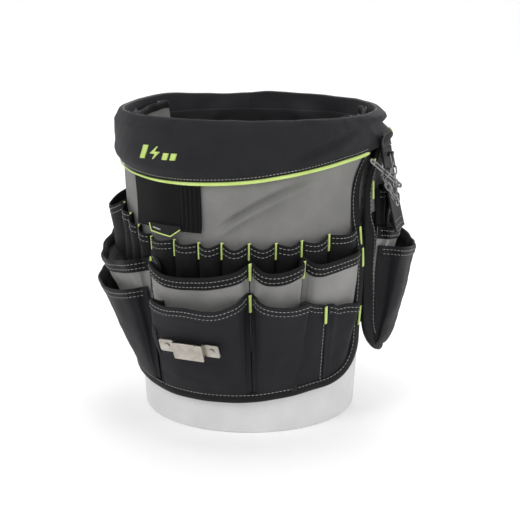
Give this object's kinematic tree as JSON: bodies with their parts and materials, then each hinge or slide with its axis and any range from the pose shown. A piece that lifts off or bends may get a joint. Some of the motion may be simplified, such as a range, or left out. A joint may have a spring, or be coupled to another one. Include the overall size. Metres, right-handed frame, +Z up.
{
  "type": "tool bucket organizer",
  "caption": "Fabric tool organizer pulled over a pail: tiers of open pockets and loops on two aprons, with a tape clip and a tape chain.",
  "frame": {"origin": "centre of the pail's underside, on the floor", "axes": "+Z up along the pail's axis; -Y is the front, where the wide pockets and the tape clip are; +X is to the right seen from the front"},
  "size_m": [0.385, 0.385, 0.3716],
  "materials": {
    "pail_plastic": "satin moulded polyethylene",
    "lime_thread": "dense lime thread and piping",
    "clip_steel": "nickel plated steel, lightly worn",
    "chain_steel": "bright plated steel wire",
    "grey_canvas": "mid grey woven polyester",
    "black_webbing": "black woven tape",
    "black_elastic": "black woven elastic",
    "hook_loop": "brushed loop pile",
    "label_cloth": "woven satin label",
    "black_ballistic": "black ballistic weave",
    "black_canvas": "black woven polyester"
  },
  "bodies": {
    "bucket_organizer": {"collar_piping": "lime_thread", "edge_bartacks": "lime_thread", "front_apron": "grey_canvas", "front_apron_binding": "black_webbing", "hook_loop_patch": "hook_loop", "inner_liner": "black_ballistic", "inner_pocket_a": "grey_canvas", "inner_pocket_b": "grey_canvas", "inner_pocket_binding_a": "black_webbing", "inner_pocket_binding_b": "black_webbing", "loop_bartacks": "lime_thread", "low_pocket_centre": "black_canvas", "low_pocket_left": "black_canvas", "low_pocket_right": "black_canvas", "low_pocket_wide": "black_canvas", "mid_binding_centre": "black_webbing", "mid_binding_left": "black_webbing", "mid_binding_right": "black_webbing", "mid_binding_wide": "black_webbing", "mid_pocket_centre": "grey_canvas", "mid_pocket_left": "grey_canvas", "mid_pocket_right": "grey_canvas", "mid_pocket_wide": "grey_canvas", "pail": "pail_plastic", "pliers_loop": "black_elastic", "rear_apron": "grey_canvas", "rear_apron_binding": "black_webbing", "rear_bartacks": "lime_thread", "rear_low_pocket_left": "black_canvas", "rear_low_pocket_middle": "black_canvas", "rear_low_pocket_right": "black_canvas", "rear_mid_binding_left": "black_webbing", "rear_mid_binding_middle": "black_webbing", "rear_mid_binding_right": "black_webbing", "rear_mid_pocket_left": "grey_canvas", "rear_mid_pocket_middle": "grey_canvas", "rear_mid_pocket_right": "grey_canvas", "rear_tool_loops": "black_elastic", "rim_collar": "black_ballistic", "side_label": "label_cloth", "side_tool_loops": "black_elastic", "tape_clip": "clip_steel", "tape_clip_rivets": "clip_steel", "tool_loop_band": "black_elastic"},
    "chain_strap": {"chain_strap": "black_webbing", "ring_tab": "black_webbing"},
    "tape_chain": {"anchor_ring": "chain_steel", "chain_links_down": "chain_steel", "chain_links_up": "chain_steel", "toggle_eye": "chain_steel"},
    "toggle": {"toggle_bar": "chain_steel"}
  },
  "joints": [
    {"name": "strap_swing", "type": "hinge", "parent": "bucket_organizer", "child": "chain_strap", "pos_m": [0.16073, -0.05222, 0.326], "axis": [-0.309, -0.9511, 0], "range_deg": [0, 70]},
    {"name": "chain_swing", "type": "hinge", "parent": "chain_strap", "child": "tape_chain", "pos_m": [0.16573, -0.05911, 0.32026], "axis": [-0.309, -0.9511, 0], "range_deg": [0, 60]},
    {"name": "toggle_turn", "type": "hinge", "parent": "tape_chain", "child": "toggle", "pos_m": [0.15687, -0.08822, 0.3014], "axis": [0.6336, -0.7163, 0.2923], "range_deg": [-20, 22]}
  ]
}
